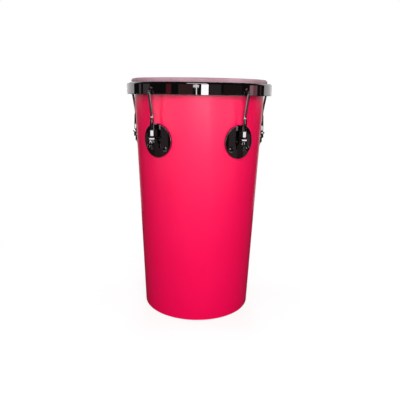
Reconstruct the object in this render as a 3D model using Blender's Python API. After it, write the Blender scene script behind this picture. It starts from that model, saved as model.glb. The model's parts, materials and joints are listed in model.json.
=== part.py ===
# Rebolo drum: a tapered hand drum with one head, open at the foot.
# The drum's axis is Z, the foot stands on Z = 0 and the front faces -Y. All sizes are in metres.

import math

import bmesh
import bpy
from mathutils import Matrix, Vector

# Facets, and the gap kept between parts that touch
GAP = 0.0003
DRUM_FACETS = 60
PLATE_FACETS = 24
SMALL_FACETS = 12

# Shell, with a thicker lip that carries the head and is hidden by the hoop
BASE_RADIUS = 0.1306
TOP_RADIUS = 0.1527
SHELL_HEIGHT = 0.5488
SHELL_WALL = 0.0050
LIP_THICKENING = 0.0035
LIP_HEIGHT = 0.0280
LIP_RAMP = 0.0045
BEARING_ROUND = 0.0040
INNER_BEVEL = 0.0030
FOOT_CHAMFER = 0.0008

# Head, tucked round the flesh hoop
SKIN_THICKNESS = 0.0015
TUCK_STOP = 0.0012
FLESH_WIDTH = 0.0049
FLESH_HEIGHT = 0.0080

# Tension hoop: a band with a flange that presses on the flesh hoop
HOOP_DROP = 0.0090
HOOP_HEIGHT = 0.0261
HOOP_WALL = 0.0029
FLANGE_THICKNESS = 0.0030
HOOP_ROUND = 0.0045
HOOP_CHAMFER = 0.0006
BAND_CLEARANCE = 0.0006
COLLAR_CLEARANCE = 0.0006
HOOK_HOLE_RADIUS = 0.00475

# Lugs, evenly spaced, with a gap between two of them at the front
LUG_COUNT = 5
LUG_DROP = 0.1220
GASKET_THICKNESS = 0.0010
PLATE_RADIUS = 0.0362
PLATE_SHEET = 0.0012
PLATE_ROUND = 0.0025

# Bracket in each lug: a foot under the plate and a tab that carries the rod
FOOT_THICKNESS = 0.0027
FOOT_INSET = 0.0042
FOOT_UPPER_EDGE = -0.0080
FOOT_LOWER_EDGE = -0.0220
FOOT_STRIP = 0.0080
NECK_INSET = 0.0010
TAB_RISE = 0.0075
TAB_THICKNESS = 0.0040
TAB_WIDTH = 0.0160
SLOT_CLEARANCE = 0.0005

# Tension rod, bent into a hook at its upper end
ROD_RADIUS = 0.0027
ROD_REACH = 0.0185
ROD_CLEARANCE = 0.00035
ROD_PAST_NUT = 0.0112
NOSE_CLEARANCE = 0.0009
NOSE_LENGTH = 0.0055
HOOK_STAND_OFF = 0.0058
HOOK_BEND = 0.0050
KNEE_RISE = 0.0060
KNEE_BEND = 0.0500

# Sleeve on the rod above the tab
SLEEVE_LENGTH = 0.0397
SLEEVE_FOOT_RADIUS = 0.0043
SLEEVE_BELLY_RADIUS = 0.0047
SLEEVE_TIP_RADIUS = 0.0037
BELLY_START = 0.0030
BELLY_END = 0.0150

# Washer and tuning nut on the rod's thread under the tab
TUNING_WASHER_RADIUS = 0.0065
TUNING_WASHER_THICKNESS = 0.0012
TUNING_NUT_FLATS = 0.0100
TUNING_NUT_HEIGHT = 0.0090

# Two screws through each plate, with flanged nuts inside the shell
SCREW_RADIUS = 0.0025
SCREW_HEAD_RADIUS = 0.0056
SCREW_HEAD_HEIGHT = 0.0030
SCREW_INSET = 0.0092
SCREW_ANGLE = math.radians(34)
SCREW_PAST_NUT = 0.0015
SCREW_NUT_FLATS = 0.0080
SCREW_NUT_HEIGHT = 0.0040
NUT_FLANGE_RADIUS = 0.0058
NUT_FLANGE_THICKNESS = 0.0012

# Heights and radii that follow from the sizes above
SHELL_SLOPE = (TOP_RADIUS - BASE_RADIUS) / SHELL_HEIGHT
SHELL_TILT = math.atan(SHELL_SLOPE)
FACET_SAG = TOP_RADIUS * (1 - math.cos(math.pi / DRUM_FACETS))
LIP_RADIUS = TOP_RADIUS + LIP_THICKENING
HEAD_TOP = SHELL_HEIGHT + GAP + SKIN_THICKNESS
HOOP_TOP = HEAD_TOP - HOOP_DROP
HOOP_BOTTOM = HOOP_TOP - HOOP_HEIGHT

COLLAR_RADIUS = LIP_RADIUS + GAP + SKIN_THICKNESS / 2
FLESH_INNER = COLLAR_RADIUS + SKIN_THICKNESS / 2 + GAP
FLESH_OUTER = FLESH_INNER + FLESH_WIDTH
FLESH_TOP = HOOP_TOP - FLANGE_THICKNESS - GAP
FLESH_BOTTOM = FLESH_TOP - FLESH_HEIGHT
TUCK_RADIUS = FLESH_OUTER + GAP + SKIN_THICKNESS / 2
TUCK_FLOOR = FLESH_BOTTOM - GAP - SKIN_THICKNESS / 2
BAND_INNER = TUCK_RADIUS + SKIN_THICKNESS / 2 + BAND_CLEARANCE
HOOP_OUTER = BAND_INNER + HOOP_WALL
FLANGE_INNER = COLLAR_RADIUS + SKIN_THICKNESS / 2 + COLLAR_CLEARANCE
HOOK_HEIGHT = TUCK_FLOOR - SKIN_THICKNESS / 2 - NOSE_CLEARANCE - ROD_RADIUS
HOOK_HOLE_HEIGHT = HOOK_HEIGHT + HOOK_HOLE_RADIUS - ROD_RADIUS - GAP

LUG_HEIGHT = HOOP_TOP - LUG_DROP
LUG_SEAT = BASE_RADIUS + SHELL_SLOPE * LUG_HEIGHT
GASKET_FACE = GAP + GASKET_THICKNESS
FOOT_BACK = GASKET_FACE + GAP
FOOT_FACE = FOOT_BACK + FOOT_THICKNESS
PLATE_FACE = FOOT_FACE + GAP + PLATE_SHEET
ROD_AXIS = LUG_SEAT + ROD_REACH
BORE_RADIUS = ROD_RADIUS + ROD_CLEARANCE
SCREW_CIRCLE = PLATE_RADIUS - SCREW_INSET
SCREW_SPREAD = SCREW_CIRCLE * math.cos(SCREW_ANGLE)
SCREW_LOWER = SCREW_CIRCLE * math.sin(SCREW_ANGLE)
SCREW_SEAT = PLATE_FACE + GAP + SCREW_HEAD_RADIUS ** 2 / (2 * LUG_SEAT)
NUT_SEAT = SHELL_WALL + GAP + FACET_SAG + NUT_FLANGE_RADIUS ** 2 / (2 * (LUG_SEAT - SHELL_WALL))

# Heights above the lug's centre of what is on the rod
SLEEVE_FOOT = TAB_RISE + GAP
SLEEVE_TOP = SLEEVE_FOOT + SLEEVE_LENGTH
WASHER_BOTTOM = TAB_RISE - TAB_THICKNESS - GAP - TUNING_WASHER_THICKNESS
NUT_BOTTOM = WASHER_BOTTOM - GAP - TUNING_NUT_HEIGHT
ROD_END = NUT_BOTTOM - ROD_PAST_NUT


# Materials

def linear(level):
    share = level / 255
    return share / 12.92 if share <= 0.04045 else ((share + 0.055) / 1.055) ** 2.4


def make_material(name, red, green, blue, roughness, metallic):
    material = bpy.data.materials.new(name)
    material.use_nodes = True
    shader = material.node_tree.nodes["Principled BSDF"]
    shader.inputs["Base Color"].default_value = (linear(red), linear(green), linear(blue), 1)
    shader.inputs["Roughness"].default_value = roughness
    shader.inputs["Metallic"].default_value = metallic
    return material


# Mesh helpers

def finish_mesh(bm, name):
    bmesh.ops.remove_doubles(bm, verts=bm.verts, dist=1e-7)
    bmesh.ops.recalc_face_normals(bm, faces=bm.faces)
    mesh = bpy.data.meshes.new(name)
    bm.to_mesh(mesh)
    bm.free()
    return mesh


def turned(name, profile, facets, ring=True):
    # A profile of (radius, height) points spun about Z. A ring's profile is a closed loop,
    # and any other profile starts and ends on the axis.
    bm = bmesh.new()
    points = [bm.verts.new((radius, 0, height)) for radius, height in profile]
    lines = [bm.edges.new(pair) for pair in zip(points, points[1:])]
    if ring:
        lines.append(bm.edges.new((points[-1], points[0])))
    bmesh.ops.spin(
        bm, geom=points + lines, cent=(0, 0, 0), axis=(0, 0, 1),
        angle=2 * math.pi, steps=facets, use_merge=True)
    return finish_mesh(bm, name)


def circle(radius, height):
    angles = [2 * math.pi * k / SMALL_FACETS for k in range(SMALL_FACETS)]
    return [(radius * math.cos(angle), radius * math.sin(angle), height) for angle in angles]


def hexagon(flats, height):
    # As many points as a circle has, placed on a hexagon's sides
    points = []
    for along, across, level in circle(1, height):
        off_flat = math.atan2(across, along) % (math.pi / 3) - math.pi / 6
        reach = flats / 2 / math.cos(off_flat)
        points.append((reach * along, reach * across, level))
    return points


def looped(name, rings):
    # A closed skin that runs through each ring of points in turn and back to the first
    bm = bmesh.new()
    loops = [[bm.verts.new(point) for point in ring] for ring in rings]
    for low, high in zip(loops, loops[1:] + loops[:1]):
        for k in range(len(low)):
            following = (k + 1) % len(low)
            bm.faces.new((low[k], low[following], high[following], high[k]))
    return finish_mesh(bm, name)


def sheet(name, outline, low, high, strip=None):
    # A flat piece with an outline in X and Y, cut across X into strips if it is to be bent
    bm = bmesh.new()
    face = bm.faces.new([bm.verts.new((along, up, low)) for along, up in outline])
    grown = bmesh.ops.extrude_face_region(bm, geom=[face])
    raised = [item for item in grown["geom"] if isinstance(item, bmesh.types.BMVert)]
    bmesh.ops.translate(bm, vec=(0, 0, high - low), verts=raised)
    if strip:
        reach = max(along for along, up in outline)
        count = int(reach / strip)
        for k in range(-count, count + 1):
            everything = bm.verts[:] + bm.edges[:] + bm.faces[:]
            bmesh.ops.bisect_plane(bm, geom=everything, plane_co=(k * strip, 0, 0), plane_no=(1, 0, 0))
    return finish_mesh(bm, name)


def gathered(name, pieces):
    # Several solids in one mesh, each from a (mesh, matrix) pair
    bm = bmesh.new()
    for mesh, matrix in pieces:
        first = len(bm.verts)
        bm.from_mesh(mesh)
        bm.verts.ensure_lookup_table()
        bmesh.ops.transform(bm, matrix=matrix, verts=bm.verts[first:])
    return finish_mesh(bm, name)


def combined(mesh, tool_mesh, operation):
    body = bpy.data.objects.new("body", mesh)
    tool = bpy.data.objects.new("tool", tool_mesh)
    for thing in (body, tool):
        bpy.context.scene.collection.objects.link(thing)
    boolean = body.modifiers.new("combine", "BOOLEAN")
    boolean.operation = operation
    boolean.solver = "EXACT"
    boolean.object = tool
    graph = bpy.context.evaluated_depsgraph_get()
    result = bpy.data.meshes.new_from_object(body.evaluated_get(graph))
    result.name = mesh.name
    for thing in (body, tool):
        bpy.data.objects.remove(thing)
    return result


def drill(radius, low, high):
    profile = [(0, low), (radius, low), (radius, high), (0, high)]
    return turned("drill", profile, SMALL_FACETS, ring=False)


def drilled(mesh, drills):
    return combined(mesh, gathered("drills", drills), "DIFFERENCE")


def add_object(name, data, material, parent, matrix=Matrix()):
    thing = bpy.data.objects.new(name, data)
    bpy.context.scene.collection.objects.link(thing)
    if not data.materials:
        data.materials.append(material)
    if isinstance(data, bpy.types.Mesh):
        data.shade_smooth()
        data.set_sharp_from_angle(angle=math.radians(35))
    thing.parent = parent
    thing.matrix_local = matrix


def add_empty(name, matrix=Matrix()):
    empty = bpy.data.objects.new(name, None)
    bpy.context.scene.collection.objects.link(empty)
    empty.matrix_local = matrix
    return empty


# Curves of (radius, height) points in a plane through the drum's axis

def arc(centre, radius, start, end, steps):
    angles = [start + (end - start) * k / steps for k in range(steps + 1)]
    return [(centre[0] + radius * math.cos(angle), centre[1] + radius * math.sin(angle)) for angle in angles]


def leaving_angle(centre, radius, target):
    # Where a path that runs clockwise round a circle leaves it to reach the target in a straight line
    across, up = target[0] - centre[0], target[1] - centre[1]
    return math.atan2(up, across) + math.acos(radius / math.hypot(across, up))


def thickened(path, thickness):
    # A closed profile that lies half the thickness to each side of the path, with mitred corners
    path = [Vector(point) for point in path]
    normals = []
    for here, following in zip(path, path[1:]):
        along = (following - here).normalized()
        normals.append(Vector((-along.y, along.x)))
    sides = [normals[0]]
    for before, after in zip(normals, normals[1:]):
        sides.append((before + after) / (1 + before.dot(after)))
    sides.append(normals[-1])
    upper = [point + side * thickness / 2 for point, side in zip(path, sides)]
    lower = [point - side * thickness / 2 for point, side in zip(path, sides)]
    return [tuple(point) for point in upper + lower[::-1]]


# Places on the shell, seen from a lug: X runs along the shell, -Y points out and Z is up

def lug_turn(k):
    # Lugs are numbered leftwards from the one to the right of the front
    return math.pi / LUG_COUNT + 2 * math.pi * k / LUG_COUNT


def lug_matrix(k):
    return Matrix.Rotation(lug_turn(k), 4, "Z") @ Matrix.Translation((0, -LUG_SEAT, LUG_HEIGHT))


def shell_place(along, up, out):
    radius = LUG_SEAT + SHELL_SLOPE * up + out
    turn = along / LUG_SEAT
    return Vector((radius * math.sin(turn), LUG_SEAT - radius * math.cos(turn), up))


def wrapped(mesh):
    # Bends a flat piece, which lies in X and Y with its thickness in Z, round the shell
    bm = bmesh.new()
    bm.from_mesh(mesh)
    bmesh.ops.triangulate(bm, faces=bm.faces)
    for vertex in bm.verts:
        vertex.co = shell_place(*vertex.co)
    return finish_mesh(bm, mesh.name)


def screw_matrix(side, out):
    # A place on the left or right screw's axis, with Z pointing out along it
    along = side * SCREW_SPREAD
    face_out = Matrix.Rotation(along / LUG_SEAT, 4, "Z") @ Matrix.Rotation(math.pi / 2 + SHELL_TILT, 4, "X")
    return Matrix.Translation(shell_place(along, -SCREW_LOWER, 0)) @ face_out @ Matrix.Translation((0, 0, out))


def rod_matrix(up):
    return Matrix.Translation((0, -ROD_REACH, up))


def screw_drills():
    screw_drill = drill(SCREW_RADIUS + GAP, -3 * SHELL_WALL, 3 * SHELL_WALL)
    return [(screw_drill, screw_matrix(side, 0)) for side in (-1, 1)]


# Shell

def shell_mesh():
    inner_base = BASE_RADIUS - SHELL_WALL
    inner_top = TOP_RADIUS - SHELL_WALL
    lip_bottom = SHELL_HEIGHT - LIP_HEIGHT
    ramp_bottom = lip_bottom - LIP_RAMP
    round_centre = (LIP_RADIUS - BEARING_ROUND, SHELL_HEIGHT - BEARING_ROUND)
    profile = [(inner_base + FOOT_CHAMFER, 0), (BASE_RADIUS - FOOT_CHAMFER, 0), (BASE_RADIUS, FOOT_CHAMFER),
               (BASE_RADIUS + SHELL_SLOPE * ramp_bottom, ramp_bottom), (LIP_RADIUS, lip_bottom)]
    profile += arc(round_centre, BEARING_ROUND, 0, math.pi / 2, 3)
    profile += [(inner_top, SHELL_HEIGHT - INNER_BEVEL), (inner_base, FOOT_CHAMFER)]
    blank = turned("shell", profile, DRUM_FACETS)
    return drilled(blank, [(bit, lug_matrix(k) @ place) for k in range(LUG_COUNT) for bit, place in screw_drills()])


# Head, flesh hoop and tension hoop

def head_mesh():
    round_centre = (LIP_RADIUS - BEARING_ROUND, SHELL_HEIGHT - BEARING_ROUND)
    path = [(0, HEAD_TOP - SKIN_THICKNESS / 2)]
    path += arc(round_centre, COLLAR_RADIUS - round_centre[0], math.pi / 2, 0, 3)
    path += [(COLLAR_RADIUS, TUCK_FLOOR), (TUCK_RADIUS, TUCK_FLOOR), (TUCK_RADIUS, FLESH_TOP - TUCK_STOP)]
    return turned("drum_head", thickened(path, SKIN_THICKNESS), DRUM_FACETS, ring=False)


def flesh_hoop_mesh():
    profile = [(FLESH_INNER, FLESH_BOTTOM), (FLESH_OUTER, FLESH_BOTTOM), (FLESH_OUTER, FLESH_TOP),
               (FLESH_INNER, FLESH_TOP)]
    return turned("flesh_hoop", profile, DRUM_FACETS)


def tension_hoop_mesh():
    round_centre = (HOOP_OUTER - HOOP_ROUND, HOOP_TOP - HOOP_ROUND)
    profile = [(BAND_INNER, HOOP_BOTTOM), (HOOP_OUTER - HOOP_CHAMFER, HOOP_BOTTOM),
               (HOOP_OUTER, HOOP_BOTTOM + HOOP_CHAMFER)]
    profile += arc(round_centre, HOOP_ROUND, 0, math.pi / 2, 3)
    profile += [(FLANGE_INNER + HOOP_CHAMFER, HOOP_TOP), (FLANGE_INNER, HOOP_TOP - HOOP_CHAMFER),
                (FLANGE_INNER, HOOP_TOP - FLANGE_THICKNESS), (BAND_INNER, HOOP_TOP - FLANGE_THICKNESS)]
    blank = turned("tension_hoop", profile, DRUM_FACETS)
    bit = drill(HOOK_HOLE_RADIUS, BAND_INNER - HOOP_WALL, HOOP_OUTER + HOOP_WALL)
    face_out = Matrix.Rotation(math.pi / 2, 4, "X")
    places = [Matrix.Translation((0, 0, HOOK_HOLE_HEIGHT)) @ Matrix.Rotation(lug_turn(k), 4, "Z") @ face_out
              for k in range(LUG_COUNT)]
    return drilled(blank, [(bit, place) for place in places])


# Lug pieces, in the lug's own frame

def gasket_mesh():
    # Rings part way out let the disc follow the shell's curve
    profile = [(0, GAP), (PLATE_RADIUS / 3, GAP), (PLATE_RADIUS * 2 / 3, GAP), (PLATE_RADIUS, GAP),
               (PLATE_RADIUS, GASKET_FACE), (PLATE_RADIUS * 2 / 3, GASKET_FACE), (PLATE_RADIUS / 3, GASKET_FACE),
               (0, GASKET_FACE)]
    return drilled(wrapped(turned("lug_gasket", profile, PLATE_FACETS, ring=False)), screw_drills())


def plate_mesh():
    # A pressed pan, slotted for the bracket's tab
    inner_face = PLATE_FACE - PLATE_SHEET
    round_centre = (PLATE_RADIUS - PLATE_ROUND, PLATE_FACE - PLATE_ROUND)
    profile = [(0, inner_face), (PLATE_RADIUS / 3, inner_face), (PLATE_RADIUS * 2 / 3, inner_face)]
    profile += arc(round_centre, PLATE_ROUND - PLATE_SHEET, math.pi / 2, 0, 2)
    profile += [(PLATE_RADIUS - PLATE_SHEET, FOOT_BACK), (PLATE_RADIUS, FOOT_BACK)]
    profile += arc(round_centre, PLATE_ROUND, 0, math.pi / 2, 3)
    profile += [(PLATE_RADIUS * 2 / 3, PLATE_FACE), (PLATE_RADIUS / 3, PLATE_FACE), (0, PLATE_FACE)]
    pan = drilled(wrapped(turned("lug_plate", profile, PLATE_FACETS, ring=False)), screw_drills())
    side = TAB_WIDTH / 2 + SLOT_CLEARANCE
    corners = [(-side, -2 * PLATE_FACE), (side, -2 * PLATE_FACE), (side, 0), (-side, 0)]
    slot = sheet("slot", corners, TAB_RISE - TAB_THICKNESS - SLOT_CLEARANCE, TAB_RISE + SLOT_CLEARANCE)
    return combined(pan, slot, "DIFFERENCE")


def bracket_mesh():
    radius = PLATE_RADIUS - FOOT_INSET
    neck = TAB_WIDTH / 2 - NECK_INSET
    neck_top = TAB_RISE - TAB_THICKNESS / 2
    upper, lower = math.asin(FOOT_UPPER_EDGE / radius), math.asin(FOOT_LOWER_EDGE / radius)
    outline = [(neck, neck_top), (neck, FOOT_UPPER_EDGE)]
    outline += arc((0, 0), radius, upper, lower, 3)
    outline += arc((0, 0), radius, math.pi - lower, math.pi - upper, 3)
    outline += [(-neck, FOOT_UPPER_EDGE), (-neck, neck_top)]
    foot = wrapped(sheet("lug_bracket", outline, FOOT_BACK, FOOT_FACE, FOOT_STRIP))
    side = TAB_WIDTH / 2
    root = -FOOT_BACK - GAP
    tab_outline = [(side, root), (-side, root)] + arc((0, -ROD_REACH), side, math.pi, 2 * math.pi, 8)
    tab = sheet("tab", tab_outline, TAB_RISE - TAB_THICKNESS, TAB_RISE)
    rod_drill = drill(BORE_RADIUS, -2 * TAB_THICKNESS, 2 * TAB_THICKNESS)
    return drilled(combined(foot, tab, "UNION"), screw_drills() + [(rod_drill, rod_matrix(TAB_RISE))])


def screw_mesh():
    tail = -(SCREW_SEAT + NUT_SEAT + NUT_FLANGE_THICKNESS + SCREW_NUT_HEIGHT + SCREW_PAST_NUT)
    dome_radius = (SCREW_HEAD_RADIUS ** 2 + SCREW_HEAD_HEIGHT ** 2) / (2 * SCREW_HEAD_HEIGHT)
    edge = math.acos(SCREW_HEAD_RADIUS / dome_radius)
    dome = arc((0, SCREW_HEAD_HEIGHT - dome_radius), dome_radius, edge, math.pi / 2, 3)[:-1]
    profile = [(0, tail), (SCREW_RADIUS, tail), (SCREW_RADIUS, 0)] + dome + [(0, SCREW_HEAD_HEIGHT)]
    return turned("lug_screw", profile, SMALL_FACETS, ring=False)


def inside_nut_mesh():
    bore = SCREW_RADIUS + ROD_CLEARANCE
    top = NUT_FLANGE_THICKNESS + SCREW_NUT_HEIGHT
    return looped("inside_nut", [
        circle(bore, 0), circle(NUT_FLANGE_RADIUS, 0), circle(NUT_FLANGE_RADIUS, -NUT_FLANGE_THICKNESS),
        hexagon(SCREW_NUT_FLATS, -NUT_FLANGE_THICKNESS), hexagon(SCREW_NUT_FLATS, -top), circle(bore, -top)])


def tuning_nut_mesh():
    return looped("tuning_nut", [
        circle(BORE_RADIUS, 0), hexagon(TUNING_NUT_FLATS, 0), hexagon(TUNING_NUT_FLATS, TUNING_NUT_HEIGHT),
        circle(BORE_RADIUS, TUNING_NUT_HEIGHT)])


def tuning_washer_mesh():
    return looped("tuning_washer", [
        circle(BORE_RADIUS, 0), circle(TUNING_WASHER_RADIUS, 0),
        circle(TUNING_WASHER_RADIUS, TUNING_WASHER_THICKNESS), circle(BORE_RADIUS, TUNING_WASHER_THICKNESS)])


def sleeve_mesh():
    return looped("rod_sleeve", [
        circle(BORE_RADIUS, 0), circle(SLEEVE_FOOT_RADIUS, 0), circle(SLEEVE_BELLY_RADIUS, BELLY_START),
        circle(SLEEVE_BELLY_RADIUS, BELLY_END), circle(SLEEVE_TIP_RADIUS, SLEEVE_LENGTH),
        circle(BORE_RADIUS, SLEEVE_LENGTH)])


def rod_path():
    # From the hook's nose, out through the hoop, over the bend, in along the lean and down
    bend_centre = (HOOP_OUTER + HOOK_STAND_OFF - HOOK_BEND, HOOK_HEIGHT - HOOK_BEND)
    knee = (ROD_AXIS, LUG_HEIGHT + SLEEVE_TOP + KNEE_RISE)
    lean = -leaving_angle(bend_centre, HOOK_BEND, knee)
    knee_centre = (ROD_AXIS + KNEE_BEND, knee[1] - KNEE_BEND * math.tan(lean / 2))
    path = [(BAND_INNER - NOSE_LENGTH, HOOK_HEIGHT)]
    path += arc(bend_centre, HOOK_BEND, math.pi / 2, -lean, 5)
    path += arc(knee_centre, KNEE_BEND, math.pi - lean, math.pi, 2)
    return path + [(ROD_AXIS, LUG_HEIGHT + ROD_END)]


def rod_curve():
    curve = bpy.data.curves.new("tension_rod", "CURVE")
    curve.dimensions = "3D"
    curve.bevel_depth = ROD_RADIUS
    curve.bevel_resolution = 2
    curve.use_fill_caps = True
    spline = curve.splines.new("POLY")
    path = rod_path()
    spline.points.add(len(path) - 1)
    for point, (radius, height) in zip(spline.points, path):
        point.co = (0, LUG_SEAT - radius, height - LUG_HEIGHT, 1)
    return curve


# Placing

def add_lugs(chrome, steel, rubber, hoop_travel):
    meshes = {"gasket": gasket_mesh(), "plate": plate_mesh(), "bracket": bracket_mesh(),
              "screw": screw_mesh(), "inside_nut": inside_nut_mesh(), "sleeve": sleeve_mesh(),
              "washer": tuning_washer_mesh(), "nut": tuning_nut_mesh(), "rod": rod_curve()}
    for k in range(LUG_COUNT):
        number = k + 1
        lug = add_empty(f"lug_{number}", lug_matrix(k))
        add_object(f"lug_gasket_{number}", meshes["gasket"], rubber, lug)
        add_object(f"lug_plate_{number}", meshes["plate"], chrome, lug)
        add_object(f"lug_bracket_{number}", meshes["bracket"], chrome, lug)
        for word, side in (("left", -1), ("right", 1)):
            add_object(f"lug_screw_{number}_{word}", meshes["screw"], chrome, lug, screw_matrix(side, SCREW_SEAT))
            add_object(f"inside_nut_{number}_{word}", meshes["inside_nut"], steel, lug,
                       screw_matrix(side, -NUT_SEAT))
        add_object(f"rod_sleeve_{number}", meshes["sleeve"], chrome, lug, rod_matrix(SLEEVE_FOOT))
        add_object(f"tuning_washer_{number}", meshes["washer"], chrome, lug, rod_matrix(WASHER_BOTTOM))
        add_object(f"tuning_nut_{number}", meshes["nut"], chrome, lug, rod_matrix(NUT_BOTTOM))
        add_object(f"tension_rod_{number}", meshes["rod"], chrome, hoop_travel, lug_matrix(k))


def build():
    for thing in list(bpy.data.objects):
        bpy.data.objects.remove(thing)

    pink = make_material("pink_plastic", 250, 3, 83, 0.35, 0)
    skin = make_material("coated_skin", 186, 151, 160, 0.55, 0)
    steel = make_material("zinc_steel", 150, 150, 152, 0.4, 1)
    chrome = make_material("black_chrome", 60, 56, 57, 0.12, 1)
    rubber = make_material("black_rubber", 24, 24, 24, 0.8, 0)

    drum = add_empty("drum")
    add_object("shell", shell_mesh(), pink, drum)
    hoop_travel = add_empty("hoop_travel")
    add_object("drum_head", head_mesh(), skin, hoop_travel)
    add_object("flesh_hoop", flesh_hoop_mesh(), steel, hoop_travel)
    add_object("tension_hoop", tension_hoop_mesh(), chrome, hoop_travel)
    add_lugs(chrome, steel, rubber, hoop_travel)


build()
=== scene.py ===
import json
import math

import bmesh
import bpy
import numpy as np
from mathutils import Matrix, Vector


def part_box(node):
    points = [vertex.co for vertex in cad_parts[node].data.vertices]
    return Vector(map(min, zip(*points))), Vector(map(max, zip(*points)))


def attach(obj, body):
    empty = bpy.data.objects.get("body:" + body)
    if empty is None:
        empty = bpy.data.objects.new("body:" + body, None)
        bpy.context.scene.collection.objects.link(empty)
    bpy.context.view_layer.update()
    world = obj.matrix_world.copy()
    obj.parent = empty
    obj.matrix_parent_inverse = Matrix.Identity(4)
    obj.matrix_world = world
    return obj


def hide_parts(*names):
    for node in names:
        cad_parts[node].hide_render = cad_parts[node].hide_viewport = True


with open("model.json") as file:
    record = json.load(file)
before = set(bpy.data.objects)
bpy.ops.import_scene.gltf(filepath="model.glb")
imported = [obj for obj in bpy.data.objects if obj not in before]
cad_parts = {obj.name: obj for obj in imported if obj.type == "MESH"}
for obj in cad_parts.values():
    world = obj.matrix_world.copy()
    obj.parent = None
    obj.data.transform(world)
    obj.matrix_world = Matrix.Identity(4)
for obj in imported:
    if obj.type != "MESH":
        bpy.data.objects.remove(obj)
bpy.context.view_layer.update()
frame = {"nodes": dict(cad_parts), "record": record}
print("The frame is loaded")


# Shader maths: a socket that can be added, subtracted and multiplied like a number

class Signal:
    def __init__(self, finish, socket):
        self.finish = finish
        self.socket = socket

    def combine(self, operation, first, second):
        return self.finish.add("ShaderNodeMath", {"operation": operation}, {0: first, 1: second})

    def larger(self, other):
        return self.combine("MAXIMUM", self, other)

    def __add__(self, other):
        return self.combine("ADD", self, other)

    def __radd__(self, other):
        return self.combine("ADD", other, self)

    def __sub__(self, other):
        return self.combine("SUBTRACT", self, other)

    def __rsub__(self, other):
        return self.combine("SUBTRACT", other, self)

    def __mul__(self, other):
        return self.combine("MULTIPLY", self, other)

    def __rmul__(self, other):
        return self.combine("MULTIPLY", other, self)


class Finish:
    # The nodes of one material or world: add() makes any of them, use() sets the shader's own
    # sockets, and show() puts something else than the shader alone on the surface
    def __init__(self, name, kind="Material"):
        makers = {"Material": bpy.data.materials, "World": bpy.data.worlds}
        self.owner = makers[kind].new(name)
        self.owner.use_nodes = True
        self.tree = self.owner.node_tree
        self.shader = self.tree.nodes.get("Principled BSDF")
        self.output = self.tree.nodes[f"{kind} Output"]

    def add(self, kind, settings=None, values=None, output=0):
        node = self.tree.nodes.new(kind)
        for setting, value in (settings or {}).items():
            if setting == "stops":
                self.setStops(node.color_ramp, value)
            else:
                setattr(node, setting, value)
        for name, value in (values or {}).items():
            self.feed(node.inputs[name], value)
        return Signal(self, node.outputs[output])

    def setStops(self, ramp, stops):
        while len(ramp.elements) < len(stops):
            ramp.elements.new(1)
        for element, (place, level) in zip(ramp.elements, stops):
            element.position = place
            element.color = (level, level, level, 1)

    def feed(self, socket, value):
        if isinstance(value, Signal):
            self.tree.links.new(value.socket, socket)
        else:
            socket.default_value = value

    def use(self, **values):
        for name, value in values.items():
            self.feed(self.shader.inputs[name.replace("_", " ")], value)

    def show(self, surface):
        self.feed(self.output.inputs["Surface"], surface)

    def place(self, scale=(1, 1, 1)):
        # Where a point is on the piece, in metres, stretched by the scale
        coordinates = self.add("ShaderNodeTexCoord", output="Object")
        return self.add("ShaderNodeMapping", {}, {"Vector": coordinates, "Scale": scale})

    def noise(self, size, detail=3, scale=(1, 1, 1), roughness=0.5):
        # Noise whose blotches are about the given size in metres across, from 0 to 1
        values = {"Vector": self.place(scale), "Scale": 1 / size, "Detail": detail, "Roughness": roughness}
        return self.add("ShaderNodeTexNoise", {}, values)

    def cells(self, size):
        # How far a point is from the middle of its cell, for cells of about the given size
        values = {"Vector": self.place(), "Scale": 1 / size}
        return self.add("ShaderNodeTexVoronoi", {"feature": "F1"}, values)

    def ramp(self, signal, stops):
        return self.add("ShaderNodeValToRGB", {"stops": stops}, {"Fac": signal})

    def blend(self, amount, first, second):
        return self.add("ShaderNodeMix", {"data_type": "RGBA"}, {0: amount, 6: first, 7: second}, output=2)

    def bump(self, height, strength, distance):
        values = {"Height": height, "Strength": strength, "Distance": distance}
        self.use(Normal=self.add("ShaderNodeBump", {}, values))


def colour(red, green, blue):
    # A display colour of 0 to 255 a channel, as the linear colour that a shader takes
    shares = np.array([red, green, blue]) / 255
    linear = np.where(shares <= 0.04045, shares / 12.92, ((shares + 0.055) / 1.055) ** 2.4)
    return tuple(float(share) for share in linear) + (1,)


pinkLooks = {"body": (251, 3, 84), "deeper": (246, 2, 78), "scuff": (255, 50, 112), "scuffShare": 0.10,
             "roughness": 0.305, "cloudDulling": 0.06, "rubDulling": 0.05, "gloss": 0.75,
             "cloudSize": 0.11, "rubSize": 0.012, "mouldSize": 0.0019, "swellSize": 0.035,
             "relief": 0.10, "depth": 0.0006}


def pinkPlastic():
    # Faint clouds and upright rub marks over a fine mould grain. The roughness is set well above
    # 0.27, because the denoiser can leave outlines on the shell where it passes through that.
    finish, looks = Finish("pinkPlastic"), pinkLooks
    clouds = finish.noise(looks["cloudSize"], detail=4)
    mould = finish.noise(looks["mouldSize"], detail=2)
    streaks = finish.noise(looks["rubSize"], detail=6, scale=(1, 1, 0.12), roughness=0.7)
    rub = finish.ramp(streaks, [(0.66, 0), (0.82, 1)])
    body = finish.blend(clouds, colour(*looks["deeper"]), colour(*looks["body"]))
    finish.use(Base_Color=finish.blend(rub * looks["scuffShare"], body, colour(*looks["scuff"])))
    dulling = (clouds - 0.5) * looks["cloudDulling"] + rub * looks["rubDulling"]
    finish.use(Roughness=looks["roughness"] + dulling, Specular_IOR_Level=looks["gloss"])
    swell = finish.noise(looks["swellSize"], detail=2)
    finish.bump(mould * 0.25 + swell, looks["relief"], looks["depth"])
    return finish.owner


chromeLooks = {"metal": (122, 118, 120), "haze": (130, 126, 128), "roughness": 0.015,
               "smearDulling": 0.025, "speckDulling": 0.06, "smearSize": 0.018, "speckSize": 0.0011,
               "waveSize": 0.03, "relief": 0.05, "depth": 0.0004}


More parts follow.
